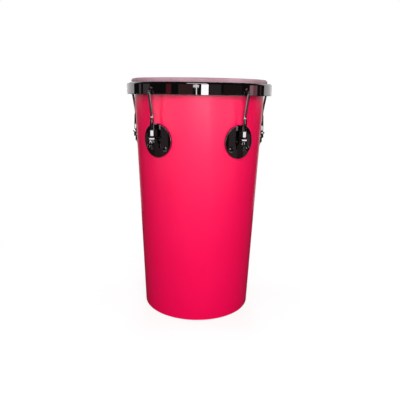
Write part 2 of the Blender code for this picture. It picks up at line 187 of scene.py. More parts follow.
def blackChrome():
    # Dark mirror metal with hand smears and fine duller specks
    finish, looks = Finish("blackChrome"), chromeLooks
    smear = finish.noise(looks["smearSize"], detail=5, roughness=0.6)
    specks = finish.ramp(finish.noise(looks["speckSize"], detail=2), [(0.70, 0), (0.78, 1)])
    finish.use(Base_Color=finish.blend(smear * 0.5, colour(*looks["metal"]), colour(*looks["haze"])))
    dulling = smear * looks["smearDulling"] + specks * looks["speckDulling"]
    finish.use(Metallic=1.0, Roughness=looks["roughness"] + dulling)
    finish.bump(finish.noise(looks["waveSize"], detail=2), looks["relief"], looks["depth"])
    return finish.owner


skinLooks = {"face": (172, 138, 148), "shade": (150, 115, 127), "roughness": 0.5, "dulling": 0.12,
             "cloudSize": 0.05, "grain": 0.0012, "relief": 0.16, "depth": 0.0003}


def coatedSkin():
    # A clouded mauve coat over a fine grain of cells
    finish, looks = Finish("coatedSkin"), skinLooks
    clouds = finish.noise(looks["cloudSize"], detail=5)
    tone = finish.ramp(clouds, [(0.3, 0), (0.7, 1)])
    finish.use(Base_Color=finish.blend(tone, colour(*looks["shade"]), colour(*looks["face"])))
    finish.use(Roughness=looks["roughness"] + clouds * looks["dulling"])
    finish.bump(finish.cells(looks["grain"]) * 0.6 + clouds, looks["relief"], looks["depth"])
    return finish.owner


zincLooks = {"dark": (150, 151, 154), "light": (184, 185, 188), "roughness": 0.30, "dulling": 0.2,
             "spangleSize": 0.002, "dullSize": 0.004, "relief": 0.08, "depth": 0.0002}


def zincSteel():
    # Small zinc spangles under patchy dulling
    finish, looks = Finish("zincSteel"), zincLooks
    dull = finish.noise(looks["dullSize"], detail=4)
    spangle = finish.cells(looks["spangleSize"])
    finish.use(Base_Color=finish.blend(spangle, colour(*looks["dark"]), colour(*looks["light"])))
    finish.use(Metallic=1.0, Roughness=looks["roughness"] + dull * looks["dulling"])
    finish.bump(dull, looks["relief"], looks["depth"])
    return finish.owner


rubberLooks = {"black": (20, 20, 21), "dusty": (38, 37, 38), "roughness": 0.62, "dulling": 0.2,
               "dustSize": 0.003, "grain": 0.0006, "relief": 0.2, "depth": 0.0002}


def blackRubber():
    # Matte rubber with a little dust in its grain
    finish, looks = Finish("blackRubber"), rubberLooks
    dust = finish.noise(looks["dustSize"], detail=5)
    finish.use(Base_Color=finish.blend(dust, colour(*looks["black"]), colour(*looks["dusty"])))
    finish.use(Roughness=looks["roughness"] + dust * looks["dulling"])
    finish.bump(finish.noise(looks["grain"], detail=2), looks["relief"], looks["depth"])
    return finish.owner


finishes = {"pink_plastic": pinkPlastic(), "black_chrome": blackChrome(), "coated_skin": coatedSkin(),
            "zinc_steel": zincSteel(), "black_rubber": blackRubber()}
print("The finishes are made")


# Where the frame puts things

def nodeBox(node):
    low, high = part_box(node)
    return np.array(low, float), np.array(high, float)


def levels(node):
    # The heights of a node's lowest and highest points
    low, high = nodeBox(node)
    return float(low[2]), float(high[2])


shellShape = {"footRadius": 0.1306, "topRadius": 0.1527, "wall": 0.0050, "lipHeight": 0.0280,
              "lipRamp": 0.0045, "bearingRound": 0.0040, "innerBevel": 0.0030, "footRound": 0.0012}
shellTop = levels("shell")[1]
lipRadius = nodeBox("shell")[1][0]
slope = (shellShape["topRadius"] - shellShape["footRadius"]) / shellTop
tilt = math.atan(slope)
lugNumbers = sorted(int(name.split("_")[-1]) for name in frame["nodes"] if name.startswith("lug_plate_"))
slotOf = {part["node"]: part["material_slot"] for part in frame["record"]["subparts"]}


def shellRadius(height):
    # The shell's straight taper: foot radius + slope·height
    return shellShape["footRadius"] + slope * height


def lugPlace(number):
    # A lug's turn round the drum and its rod's distance from the axis, read from its nut
    low, high = nodeBox(f"tuning_nut_{number}")
    x, y = (low[:2] + high[:2]) / 2
    return math.atan2(x, -y), math.hypot(x, y)


rodAxis = lugPlace(1)[1]
plateLow, plateTop = levels("lug_plate_1")
lugHeight = (plateLow + plateTop) / 2
plateRadius = (plateTop - plateLow) / 2
lugSeat = shellRadius(lugHeight)
gap = 0.0003  # between a piece and the next one
tabTop = levels("rod_sleeve_1")[0] - gap
tabLow = levels("tuning_washer_1")[1] + gap


# Shapes as numpy grids of points. The runs of a profile start a little after the corner before
# them, so that no two of its points fall together.

def around(count):
    # Angles in even steps round a whole circle, with the start left out at the end
    return np.linspace(0, 2 * math.pi, count, endpoint=False)


def arcPoints(centre, radius, start, end, count):
    # Points at centre + radius·(cos, sin) of angles in degrees from start to end
    angles = np.radians(np.linspace(start, end, count))
    return np.stack([centre[0] + radius * np.cos(angles), centre[1] + radius * np.sin(angles)], axis=1)


def linePoints(start, end, count):
    # A straight run whose points crowd towards both ends, so that shading stays even along it
    share = (1 - np.cos(np.linspace(0, math.pi, count))) / 2
    return np.array(start) + share[:, None] * (np.array(end) - np.array(start))


def roundedSection(inner, outer, low, high, corner, count):
    # A rectangle of (radius, height) with quarter-round corners
    return np.concatenate([
        arcPoints((inner + corner, low + corner), corner, 180, 270, count),
        arcPoints((outer - corner, low + corner), corner, 270, 360, count),
        arcPoints((outer - corner, high - corner), corner, 0, 90, count),
        arcPoints((inner + corner, high - corner), corner, 90, 180, count)])


def turned(profile, count):
    # Each (radius, height) point goes round Z: (radius·sin t, -radius·cos t, height)
    turn = around(count)
    radius, height = profile[:, :1], profile[:, 1:]
    return np.stack([radius * np.sin(turn), -radius * np.cos(turn), height + 0 * turn], axis=2)


def ringed(radius, height, turn):
    # Rings on a small axis of their own: (radius·cos t, radius·sin t, height)
    return np.stack([radius * np.cos(turn), radius * np.sin(turn), height + 0 * turn], axis=2)


def standing(rings):
    # Moves rings out to the rod's axis
    return rings + (0, rodAxis, 0)


def offsetProfile(path, thickness):
    # The path moved half the thickness to each side along its own normals
    along = np.gradient(path, axis=0)
    along /= np.linalg.norm(along, axis=1)[:, None]
    side = np.stack([-along[:, 1], along[:, 0]], axis=1) * thickness / 2
    return path + side, path - side


def atLug(points, azimuth):
    # Turns a lug's (along, out, up) into the drum's (x, y, z)
    along, out, up = points[..., 0], points[..., 1], points[..., 2]
    return np.stack([out * math.sin(azimuth) + along * math.cos(azimuth),
                     along * math.sin(azimuth) - out * math.cos(azimuth), up], axis=-1)


def onShell(points, azimuth):
    # Bends a flat (along, up, proud) piece round the shell at a lug
    along, up, proud = points[..., 0], points[..., 1], points[..., 2]
    radius = lugSeat + slope * up + proud
    turn = azimuth + along / lugSeat
    return np.stack([radius * np.sin(turn), -radius * np.cos(turn), lugHeight + up], axis=-1)


def slab(outline, low, high, edge):
    # A flat plate with quarter-round edges: each row is the outline drawn in by edge·(1 - sin a)
    tangent = np.roll(outline, -1, axis=0) - np.roll(outline, 1, axis=0)
    tangent /= np.linalg.norm(tangent, axis=1)[:, None]
    inward = np.stack([-tangent[:, 1], tangent[:, 0]], axis=1)
    quarter = np.linspace(0, math.pi / 2, 5)
    inset = edge * (1 - np.sin(quarter))
    lift = edge * (1 - np.cos(quarter))
    # Two more rows keep the band between the rounded edges flat in the shading
    band = np.array([low, high]) + np.array([1.2, -1.2]) * edge
    insets = np.concatenate([inset, [0, 0], inset[::-1]])
    heights = np.concatenate([[low], low + lift, band, (high - lift)[::-1], [high]])
    rows = outline[None] + insets[:, None, None] * inward[None]
    middle = np.broadcast_to(outline.mean(0), rows[:1].shape)
    rows = np.concatenate([middle, rows, middle])
    return np.concatenate([rows, np.broadcast_to(heights[:, None, None], rows[..., :1].shape)], axis=2)


def meshFrom(name, grids):
    # Quads between neighbouring rows and columns of each grid, round every row, and from the last
    # row back to the first where a grid is a loop. Rows that meet in one point are merged.
    bm = bmesh.new()
    for points, looped in grids:
        rows, columns = points.shape[:2]
        row = np.arange(rows if looped else rows - 1)[:, None]
        column = np.arange(columns)[None]
        here, above = row * columns, (row + 1) % rows * columns
        after = (column + 1) % columns
        quads = np.stack([here + column, here + after, above + after, above + column], axis=2)
        mesh = bpy.data.meshes.new(name + "Part")
        mesh.from_pydata(points.reshape(-1, 3).tolist(), [], quads.reshape(-1, 4).tolist())
        bm.from_mesh(mesh)
        bpy.data.meshes.remove(mesh)
    bmesh.ops.remove_doubles(bm, verts=bm.verts, dist=2e-6)
    bmesh.ops.recalc_face_normals(bm, faces=bm.faces)
    mesh = bpy.data.meshes.new(name)
    bm.to_mesh(mesh)
    bm.free()
    return mesh


def cutAway(mesh, tool):
    # The mesh with the tool's shape taken out of it
    body, cutter = bpy.data.objects.new("body", mesh), bpy.data.objects.new("cutter", tool)
    for thing in (body, cutter):
        bpy.context.scene.collection.objects.link(thing)
    boolean = body.modifiers.new("cut", "BOOLEAN")
    boolean.operation = "DIFFERENCE"
    boolean.solver = "EXACT"
    boolean.object = cutter
    graph = bpy.context.evaluated_depsgraph_get()
    result = bpy.data.meshes.new_from_object(body.evaluated_get(graph))
    for thing in (body, cutter):
        bpy.data.objects.remove(thing)
    return result


sharpEdge = math.radians(38)  # edges that bend by more than this aren't smoothed over


def addPiece(name, grids, node, body="drum_body", holes=None):
    # Shows the grids, with the holes taken out of them, in place of a CAD node
    mesh = meshFrom(name, grids)
    if holes:
        mesh = cutAway(mesh, meshFrom(name + "Holes", holes))
    slotName = slotOf[node]
    mesh.materials.clear()
    mesh.materials.append(finishes[slotName])
    mesh.shade_smooth()
    mesh.set_sharp_from_angle(angle=sharpEdge)
    piece = bpy.data.objects.new(name, mesh)
    bpy.context.scene.collection.objects.link(piece)
    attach(piece, body)
    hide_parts(node)


# Shell, head, flesh hoop and tension hoop

def makeShell():
    # One closed wall profile turned round Z: up the outside, out to the lip, over the bearing
    # edge, down the bevel and back down the inside
    shape = shellShape
    foot, wall, top = shape["footRadius"], shape["wall"], shape["topRadius"]
    lipBottom = shellTop - shape["lipHeight"]
    rampBottom = lipBottom - shape["lipRamp"]
    edge, bearing = shape["footRound"], shape["bearingRound"]
    profile = np.concatenate([
        arcPoints((foot - wall + edge, edge), edge, 180, 270, 6),
        arcPoints((foot - edge, edge), edge, 270, 360, 6),
        linePoints((foot, edge * 1.2), (shellRadius(rampBottom), rampBottom), 60),
        linePoints((lipRadius, lipBottom), (lipRadius, shellTop - bearing), 8),
        arcPoints((lipRadius - bearing, shellTop - bearing), bearing, 0, 90, 8),
        linePoints((top - wall, shellTop - shape["innerBevel"]), (foot - wall, edge * 1.2), 60)])
    addPiece("shellWall", [(turned(profile, 288), True)], "shell")


headShape = {"thickness": 0.0015, "tuckRound": 0.0012, "tuckStop": 0.0012}


def makeHead():
    # A path from the middle over the bearing edge, down the collar, round under the flesh hoop and
    # up its outside, given half its thickness to each side and turned round Z
    shape = headShape
    low, high = nodeBox("drum_head")
    half, bend = shape["thickness"] / 2, shape["tuckRound"]
    outer, top, floor = high[0] - half, high[2] - half, low[2] + half
    collar = lipRadius + gap + half
    centre = (lipRadius - shellShape["bearingRound"], shellTop - shellShape["bearingRound"])
    fleshTop = levels("flesh_hoop")[1]
    path = np.concatenate([
        linePoints((0, top), (centre[0] - 0.001, top), 40),
        arcPoints(centre, collar - centre[0], 90, 0, 14),
        linePoints((collar, centre[1] - 0.0006), (collar, floor + bend + 0.0004), 16),
        arcPoints((collar + bend, floor + bend), bend, 180, 270, 8),
        arcPoints((outer - bend, floor + bend), bend, 270, 360, 8),
        linePoints((outer, floor + bend + 0.0004), (outer, fleshTop - shape["tuckStop"]), 10)])
    upper, lower = offsetProfile(path, shape["thickness"])
    upper[0, 0] = lower[0, 0] = 0
    profile = np.concatenate([upper, lower[::-1]])
    addPiece("headSkin", [(turned(profile, 256), False)], "drum_head", "hoop_and_head")


fleshShape = {"width": 0.0049, "corner": 0.0010}


def makeFleshHoop():
    # A rounded rectangle turned round Z
    outer = nodeBox("flesh_hoop")[1][0]
    low, high = levels("flesh_hoop")
    profile = roundedSection(outer - fleshShape["width"], outer, low, high, fleshShape["corner"], 5)
    addPiece("fleshRing", [(turned(profile, 160), True)], "flesh_hoop", "hoop_and_head")


hoopShape = {"wall": 0.0029, "flange": 0.0030, "flangeInner": 0.1586, "round": 0.0045, "edge": 0.0008,
             "innerRound": 0.001, "holeRadius": 0.00475, "holeDrop": 0.01495, "drillReach": 0.004}


def makeTensionHoop():
    # A band with a rounded shoulder and a flange turned in over the head, as one closed profile
    # round Z, less a hole at each lug that runs straight out from the axis
    shape = hoopShape
    outer = nodeBox("tension_hoop")[1][0]
    bottom, top = levels("tension_hoop")
    edge, corner, fillet = shape["edge"], shape["round"], shape["innerRound"]
    inner, flangeInner, flangeLow = outer - shape["wall"], shape["flangeInner"], top - shape["flange"]
    profile = np.concatenate([
        arcPoints((inner + edge, bottom + edge), edge, 180, 270, 5),
        arcPoints((outer - edge, bottom + edge), edge, 270, 360, 5),
        linePoints((outer, bottom + edge * 1.3), (outer, top - corner - 0.0002), 22),
        arcPoints((outer - corner, top - corner), corner, 0, 90, 12),
        linePoints((outer - corner - 0.0003, top), (flangeInner + edge * 1.3, top), 6),
        arcPoints((flangeInner + edge, top - edge), edge, 90, 180, 5),
        linePoints((flangeInner, top - edge * 1.3), (flangeInner, flangeLow), 4),
        linePoints((flangeInner + 0.0002, flangeLow), (inner - fillet, flangeLow), 5),
        arcPoints((inner - fillet, flangeLow - fillet), fillet, 90, 0, 4),
        linePoints((inner, flangeLow - fillet - 0.0003), (inner, bottom + edge * 1.3), 10)])
    turn = around(40)
    reach = (np.array([0, 1, 1, 0]) * shape["holeRadius"])[:, None]
    start, end = inner - shape["drillReach"], outer + shape["drillReach"]
    out = np.array([start, start, end, end])[:, None] + 0 * turn
    drill = np.stack([reach * np.cos(turn), out, top - shape["holeDrop"] + reach * np.sin(turn)], axis=2)
    drills = [(atLug(drill, lugPlace(number)[0]), False) for number in lugNumbers]
    addPiece("hoopBand", [(turned(profile, 360), True)], "tension_hoop", "hoop_and_head", drills)


# Lug plates, gaskets, brackets and their screws

plateShape = {"face": 0.0058, "sheet": 0.0012, "back": 0.0016, "round": 0.0008, "bend": 0.0004,
              "rimEdge": 0.0005, "slotSide": 0.0085, "slotMargin": 0.0005, "slotBack": 0.01,
              "slotFront": 0.02}


def makePlate(number, azimuth):
    # A shallow pan's profile turned round its own middle and bent round the shell, less a box
    # where the tab comes through
    shape = plateShape
    face, sheet, corner, back = shape["face"], shape["sheet"], shape["round"], shape["back"]
    inner, bend, edge = face - sheet, shape["bend"], shape["rimEdge"]
    profile = np.concatenate([
        linePoints((0, inner), (plateRadius - sheet - bend - 0.0003, inner), 30),
        arcPoints((plateRadius - sheet - bend, inner - bend), bend, 90, 0, 6),
        arcPoints((plateRadius - sheet + edge, back + edge), edge, 180, 270, 4),
        arcPoints((plateRadius - edge, back + edge), edge, 270, 360, 4),
        arcPoints((plateRadius - corner, face - corner), corner, 0, 90, 14),
        linePoints((plateRadius - corner - 0.0003, face), (0, face), 44)])
    pan = ringed(profile[:, :1], profile[:, 1:], around(144))
    side, margin = shape["slotSide"], shape["slotMargin"]
    near, far = lugSeat - shape["slotBack"], lugSeat + shape["slotFront"]
    corners = np.array([(-side, near), (side, near), (side, far), (-side, far)])
    slot = slab(corners, tabLow - margin, tabTop + margin, 0.0)
    addPiece(f"lugPan{number}", [(onShell(pan, azimuth), False)], f"lug_plate_{number}",
             holes=[(atLug(slot, azimuth), False)])


gasketShape = {"back": 0.0003, "face": 0.0013, "edge": 0.0003}


def makeGasket(number, azimuth):
    # A flat disc with rings across its two faces, so that it can bend round the shell
    turn = around(144)
    rim = np.stack([plateRadius * np.cos(turn), plateRadius * np.sin(turn)], axis=1)
    disc = slab(rim, gasketShape["back"], gasketShape["face"], gasketShape["edge"])
    rings = np.linspace(0.1, 0.9, 9)[:, None, None]
    below = disc[:1] + rings * (disc[1:2] - disc[:1])
    above = disc[-1:] + rings[::-1] * (disc[-2:-1] - disc[-1:])
    disc = np.concatenate([disc[:1], below, disc[1:-1], above, disc[-1:]])
    addPiece(f"lugGasket{number}", [(onShell(disc, azimuth), False)], f"lug_gasket_{number}")


bracketShape = {"width": 0.0160, "edge": 0.0006, "footBack": 0.0016, "footFace": 0.0043,
                "footEdge": 0.0004, "footRadius": 0.0320, "footTop": 0.005, "footUpper": -0.0080,
                "footLower": -0.0220, "footInset": 0.001, "boreRadius": 0.00305}


def makeBracket(number, azimuth):
    # The tab is a slab round the rod's axis, closed through its bore into a loop, and the foot is
    # a slab bent round the shell under the plate
    shape = bracketShape
    side = shape["width"] / 2
    root = lugSeat + shape["footBack"] + gap
    tip = arcPoints((0, rodAxis), side, 0, 180, 40)
    straight = linePoints((-side, rodAxis - 0.0004), (-side, root + 0.0004), 8)
    back = linePoints((-side, root), (side, root), 12)
    outline = np.concatenate([tip, straight, back, straight[::-1] * (-1, 1)])
    rim = slab(outline, tabLow, tabTop, shape["edge"])[1:-1]
    # The bore takes one point from each of the outline's, straight towards the rod's axis
    spoke = outline - (0, rodAxis)
    bore = spoke / np.linalg.norm(spoke, axis=1)[:, None] * shape["boreRadius"] + (0, rodAxis)
    ends = [np.concatenate([bore, np.full((len(bore), 1), level)], axis=1) for level in (tabTop, tabLow)]
    tab = np.concatenate([rim, ends])
    upper, lower = (math.degrees(math.asin(shape[key] / shape["footRadius"]))
                    for key in ("footUpper", "footLower"))
    edgeLine = side - shape["footInset"]
    right = np.concatenate([linePoints((edgeLine, shape["footTop"]), (edgeLine, shape["footUpper"]), 4),
                            arcPoints((0, 0), shape["footRadius"], upper, lower, 8)])
    footOutline = np.concatenate([right, right[::-1] * (-1, 1)])[::-1]
    foot = slab(footOutline, shape["footBack"], shape["footFace"], shape["footEdge"])
    addPiece(f"lugBracket{number}", [(atLug(tab, azimuth), True), (onShell(foot, azimuth), False)],
             f"lug_bracket_{number}")


screwShape = {"spread": 0.02238, "lower": 0.01510, "radius": 0.0025, "seat": 0.00621, "headRadius": 0.0056,
              "headHeight": 0.0030, "tail": -0.0123, "tailEdge": 0.0004, "rim": 0.0003, "rimStep": 0.0002,
              "recess": 0.0017, "slotHalf": 0.00065, "slotReach": 0.0030, "slotFade": 0.0003}


def onScrew(points, azimuth, side):
    # Stands a (across, upward, proud) piece square on the shell where a screw goes through
    turn = azimuth + side * screwShape["spread"] / lugSeat
    outward = np.array([math.sin(turn), -math.cos(turn), 0])
    across = np.array([math.cos(turn), math.sin(turn), 0])
    upright = np.array([0, 0, 1])
    normal = outward * math.cos(tilt) - upright * math.sin(tilt)
    climb = outward * math.sin(tilt) + upright * math.cos(tilt)
    height = lugHeight - screwShape["lower"]
    origin = outward * (lugSeat - slope * screwShape["lower"]) + upright * height
    return origin + points[..., :1] * across + points[..., 1:2] * climb + points[..., 2:] * normal


def screwHead(across, upward):
    # A dome, sqrt(dome² - across² - upward²) - dome + rise, less a cross whose depth fades out over
    # a little distance round its two slots
    shape = screwShape
    rise = shape["headHeight"]
    dome = (shape["headRadius"] ** 2 + rise ** 2) / (2 * rise)
    height = np.sqrt(dome ** 2 - across ** 2 - upward ** 2) - dome + rise

    def share(reach, distance):
        return np.clip((reach - np.abs(distance)) / shape["slotFade"], 0, 1)

    half, reach = shape["slotHalf"], shape["slotReach"]
    upright = share(half, across) * share(reach, upward)
    level = share(half, upward) * share(reach, across)
    return shape["seat"] + height - shape["recess"] * np.maximum(upright, level)


def makeScrew(number, azimuth, word, side):
    # A shank's profile turned round the screw's axis, and the head as rings of screwHead's height
    shape = screwShape
    shank, head, seat, tail = (shape[key] for key in ("radius", "headRadius", "seat", "tail"))
    edge, rim, step = shape["tailEdge"], shape["rim"], shape["rimStep"]
    turn = around(96)
    radius = np.linspace(head - step, 0, 34)[:, None]
    across, upward = radius * np.cos(turn), radius * np.sin(turn)
    dome = np.stack([across, upward, screwHead(across, upward)], axis=2)
    neck = np.array([(0, tail), (shank - edge, tail), (shank, tail + edge), (shank, seat),
                     (head - rim, seat), (head, seat + step), (head, seat + rim)])
    grid = np.concatenate([ringed(neck[:, :1], neck[:, 1:], turn), dome])
    addPiece(f"lugScrew{number}{word}", [(onScrew(grid, azimuth, side), False)],
             f"lug_screw_{number}_{word}")


def hexagonRings(flats, low, high, bore):
    # A hexagon's reach, held in at each end by a cone at 30 degrees, round a plain bore
    turn = around(72)
    reach = flats / 2 / np.cos(turn % (math.pi / 3) - math.pi / 6)
    start, clear = flats * 0.49, flats * 0.5775 + 0.0001  # the cone's radius at the end and past the corners
    drop = np.linspace(0, (clear - start) / math.sqrt(3), 6)
    limit = start + drop * math.sqrt(3)
    heights = np.concatenate([[low], low + drop, (high - drop)[::-1], [high]])
    radius = np.minimum(reach[None], np.concatenate([limit, limit[::-1]])[:, None])
    plain = np.full((1, len(turn)), bore)
    return ringed(np.concatenate([plain, radius, plain]), heights[:, None], turn)


insideNutShape = {"seat": -0.00563, "flats": 0.0080, "height": 0.0040, "flange": 0.0012,
                  "flangeRadius": 0.0058, "edge": 0.0003, "clearance": 0.00035}


def makeInsideNut(number, azimuth, word, side):
    # A hexagon and the flange under it, each a closed loop of rings round the screw
    shape = insideNutShape
    seat, edge, radius = shape["seat"], shape["edge"], shape["flangeRadius"]
    bottom = seat - shape["flange"]
    bore = screwShape["radius"] + shape["clearance"]
    hexagon = hexagonRings(shape["flats"], bottom - shape["height"], bottom + edge, bore)
    ring = np.array([(bore, seat), (radius - edge, seat), (radius, seat - edge), (radius, bottom + edge),
                     (radius - edge, bottom), (bore, bottom)])
    flange = ringed(ring[:, :1], ring[:, 1:], around(72))
    addPiece(f"insideNut{number}{word}", [(onScrew(grid, azimuth, side), True) for grid in (hexagon, flange)],
             f"inside_nut_{number}_{word}")


# What stands on each rod, and the rod itself

sleeveShape = {"foot": 0.0043, "belly": 0.0047, "tip": 0.0037, "bellyStart": 0.0030, "bellyEnd": 0.0150,
               "bore": 0.00305, "edge": 0.0005, "tipEdge": 0.0003}


def makeSleeve(number, azimuth):
    # A belly that narrows to the tip, with a bore, as one closed profile round the rod
    shape = sleeveShape
    low, high = levels(f"rod_sleeve_{number}")
    foot, belly, tip, edge, tipEdge = (shape[key] for key in ("foot", "belly", "tip", "edge", "tipEdge"))
    start, end = low + shape["bellyStart"], low + shape["bellyEnd"]
    profile = np.concatenate([
        [(shape["bore"], low)],
        arcPoints((foot - edge, low + edge), edge, 270, 360, 5),
        linePoints((foot + 0.0001, low + edge * 1.4), (belly, start), 8),
        linePoints((belly, start + 0.0006), (belly, end), 8),
        linePoints((belly - 0.0001, end + 0.001), (tip, high - edge), 16),
        arcPoints((tip - tipEdge, high - tipEdge), tipEdge, 0, 90, 5),
        linePoints((shape["bore"], high - 0.0001), (shape["bore"], low + 0.0003), 4)])
    grid = standing(ringed(profile[:, :1], profile[:, 1:], around(64)))
    addPiece(f"rodSleeve{number}", [(atLug(grid, azimuth), True)], f"rod_sleeve_{number}")


washerShape = {"radius": 0.0065, "edge": 0.0003}


def makeTuningWasher(number, azimuth):
    # A rounded rectangle turned round the rod
    low, high = levels(f"tuning_washer_{number}")
    profile = roundedSection(sleeveShape["bore"], washerShape["radius"], low, high, washerShape["edge"], 4)
    grid = standing(ringed(profile[:, :1], profile[:, 1:], around(64)))
    addPiece(f"tuningWasher{number}", [(atLug(grid, azimuth), True)], f"tuning_washer_{number}")


tuningNutShape = {"flats": 0.0100}


def makeTuningNut(number, azimuth):
    # A hexagon as a closed loop of rings round the rod
    low, high = levels(f"tuning_nut_{number}")
    grid = standing(hexagonRings(tuningNutShape["flats"], low, high, sleeveShape["bore"]))
    addPiece(f"tuningNut{number}", [(atLug(grid, azimuth), True)], f"tuning_nut_{number}", f"nut_{number}")


rodShape = {"radius": 0.0027, "noseLength": 0.0055, "standOff": 0.0057, "bend": 0.0050, "kneeRise": 0.0060,
            "kneeBend": 0.0500, "threadLength": 0.0300, "pitch": 0.0010, "threadDepth": 0.00045,
            "threadFade": 0.002, "pointLength": 0.0008, "pointShare": 0.72}


def leavingAngle(centre, radius, target):
    # Where a path that runs clockwise round a circle leaves it to reach the target in a straight line
    across, up = target[0] - centre[0], target[1] - centre[1]
    return math.atan2(up, across) + math.acos(radius / math.hypot(across, up))


def rodPath(low, high):
    # The hook's nose, its bend, the lean, the knee and the upright, as (out, up) points
    shape = rodShape
    hoopOuter = float(nodeBox("tension_hoop")[1][0])
    level = high - shape["radius"]
    centre = (hoopOuter + shape["standOff"] - shape["bend"], level - shape["bend"])
    knee = (rodAxis, levels("rod_sleeve_1")[1] + shape["kneeRise"])
    leave = leavingAngle(centre, shape["bend"], knee)
    rise = shape["kneeBend"] * math.tan(-leave / 2)
    kneeCentre = (rodAxis + shape["kneeBend"], knee[1] - rise)
    bend = arcPoints(centre, shape["bend"], 90, math.degrees(leave), 20)
    kneeArc = arcPoints(kneeCentre, shape["kneeBend"], 180 + math.degrees(leave), 180, 10)
    lean = kneeArc[0] - bend[-1]
    nose = hoopOuter - hoopShape["wall"] - shape["noseLength"]
    return np.concatenate([
        linePoints((nose, level), (centre[0] - 0.0002, level), 8), bend,
        linePoints(bend[-1] + lean * 0.01, bend[-1] + lean * 0.99, 12), kneeArc,
        linePoints((rodAxis, kneeArc[-1][1] - 0.0005), (rodAxis, low + shape["threadLength"]), 8)])


def makeRod(number, azimuth):
    # A circle carried along the path, drawn in by a V groove that winds down the thread, and
    # narrowed to a point at its foot
    shape = rodShape
    low, high = levels(f"tension_rod_{number}")
    plain = rodPath(low, high)
    steps = int(shape["threadLength"] / shape["pitch"] * 8)  # eight rings to a turn of the thread
    threadUp = np.linspace(low + shape["threadLength"], low, steps + 1)[1:]
    path = np.concatenate([plain, np.stack([np.full(steps, rodAxis), threadUp], axis=1)])
    along = np.gradient(path, axis=0)
    along /= np.linalg.norm(along, axis=1)[:, None]
    turn = around(28)
    radius = np.full((len(path), len(turn)), shape["radius"])
    wind = (threadUp[:, None] / shape["pitch"] - turn / (2 * math.pi)) % 1
    fade = np.clip((threadUp[0] - threadUp[:, None]) / shape["threadFade"], 0, 1)
    fromEnd = np.clip((threadUp[:, None] - low) / shape["pointLength"], 0, 1)
    point = shape["radius"] * (shape["pointShare"] + (1 - shape["pointShare"]) * fromEnd)
    thread = shape["radius"] - shape["threadDepth"] * np.abs(2 * wind - 1) * fade
    radius[len(plain):] = np.minimum(thread, point)
    sideways, upward = radius * np.cos(turn), radius * np.sin(turn)
    grid = np.stack([sideways, path[:, :1] - upward * along[:, 1:],
                     path[:, 1:] + upward * along[:, :1]], axis=2)
    nose, tail = (np.broadcast_to((0, *path[end]), (1, len(turn), 3)) for end in (0, -1))
    grid = np.concatenate([nose, grid, tail])
    addPiece(f"tensionRod{number}", [(atLug(grid, azimuth), False)], f"tension_rod_{number}", "hoop_and_head")


makeShell()
makeHead()
makeFleshHoop()
makeTensionHoop()
print("The shell, head and hoops are made")
for number in lugNumbers:
    azimuth = lugPlace(number)[0]
    makePlate(number, azimuth)
    makeGasket(number, azimuth)
    makeBracket(number, azimuth)
    for word, side in (("left", -1), ("right", 1)):
        makeScrew(number, azimuth, word, side)
        makeInsideNut(number, azimuth, word, side)
    makeSleeve(number, azimuth)
    makeTuningWasher(number, azimuth)
    makeTuningNut(number, azimuth)
    makeRod(number, azimuth)
print("The lugs are made")


# Studio: a dark wall all round, open at two places where white paper shows, and bright or tinted
# panels in front of it. Only reflections see them.

studio = {"wallRadius": 2.55, "wallLow": -1.0, "ceiling": 3.0, "ceilingHalf": 3, "wallLevel": 0.018,
          "ceilingLevel": 0.03, "paperSide": (117, 160), "panelGap": 0.05, "ambient": 0.13}
# Each panel's start and end in degrees round the drum, its low and high edge, and its red, green
# and blue. The hoop sees those at 0.48 to 0.66, the plates those at -0.25 to 0.10, and the shell the
# low box and the glows under it.
panels = {"softbox": (3.2, 13.5, 0.48, 0.66, (5.2, 5.2, 5.2)),
          "lowBox": (-85, 73, 0.157, 0.32, (4.2, 4.2, 4.2)),
          "upperGlow": (-50, 50, -0.36, -0.12, (0.35, 0.35, 0.35)),
          "lowerGlow": (-34, 34, -0.80, -0.36, (0.30, 0.30, 0.30)),
          "leftShade": (-150, -116, -1.00, 0.45, (0.018, 0.018, 0.018)),
          "rightShade": (116, 150, -1.00, 0.45, (0.018, 0.018, 0.018)),
          "upperSoftbox": (-20, 13, 1.87, 2.79, (4.4, 4.4, 4.4)),
          "standPole": (-4.4, -2.9, 0.40, 0.62, (3, 3, 3)),
          "standArm": (-8.6, -0.2, 0.556, 0.574, (3, 3, 3)),
          "leftPost": (-102, -97, 0.48, 0.66, (0.23, 0.20, 0.21)),
          "leftScreen": (-92, -78, 0.48, 0.66, (0.17, 0.15, 0.155)),
          "redCloth": (-49, -41, 0.48, 0.66, (0.25, 0.04, 0.058)),
          "brownDoor": (-30, -9, 0.48, 0.66, (0.13, 0.065, 0.065)),
          "rightTable": (15.5, 32, 0.48, 0.66, (0.10, 0.085, 0.085)),
          "rightHaze": (36, 66, 0.48, 0.66, (0.05, 0.035, 0.035)),
          "pinkSheet": (80.5, 88, 0.48, 0.66, (0.90, 0.52, 0.58)),
          "pinkShade": (88, 97.5, 0.48, 0.66, (0.50, 0.24, 0.28)),
          "rightPost": (104, 108, 0.48, 0.66, (0.17, 0.09, 0.09)),
          "backSoftbox": (184, 196, 0.34, 1.60, (5, 5, 5)),
          "leftFar": (-118, -96, -0.25, 0.10, (0.10, 0.075, 0.08)),
          "leftDeep": (-96, -80, -0.25, 0.10, (0.045, 0.03, 0.03)),
          "leftMiddle": (-80, -66, -0.25, 0.10, (0.075, 0.055, 0.055)),
          "leftNear": (-66, -52, -0.25, 0.10, (0.10, 0.075, 0.08)),
          "rightNear": (52, 70, -0.25, 0.10, (0.11, 0.09, 0.09)),
          "rightMiddle": (70, 84, -0.25, 0.10, (0.06, 0.045, 0.045)),
          "rightBright": (84, 98, -0.25, 0.10, (0.14, 0.11, 0.11)),
          "rightFar": (98, 118, -0.25, 0.10, (0.07, 0.05, 0.055))}


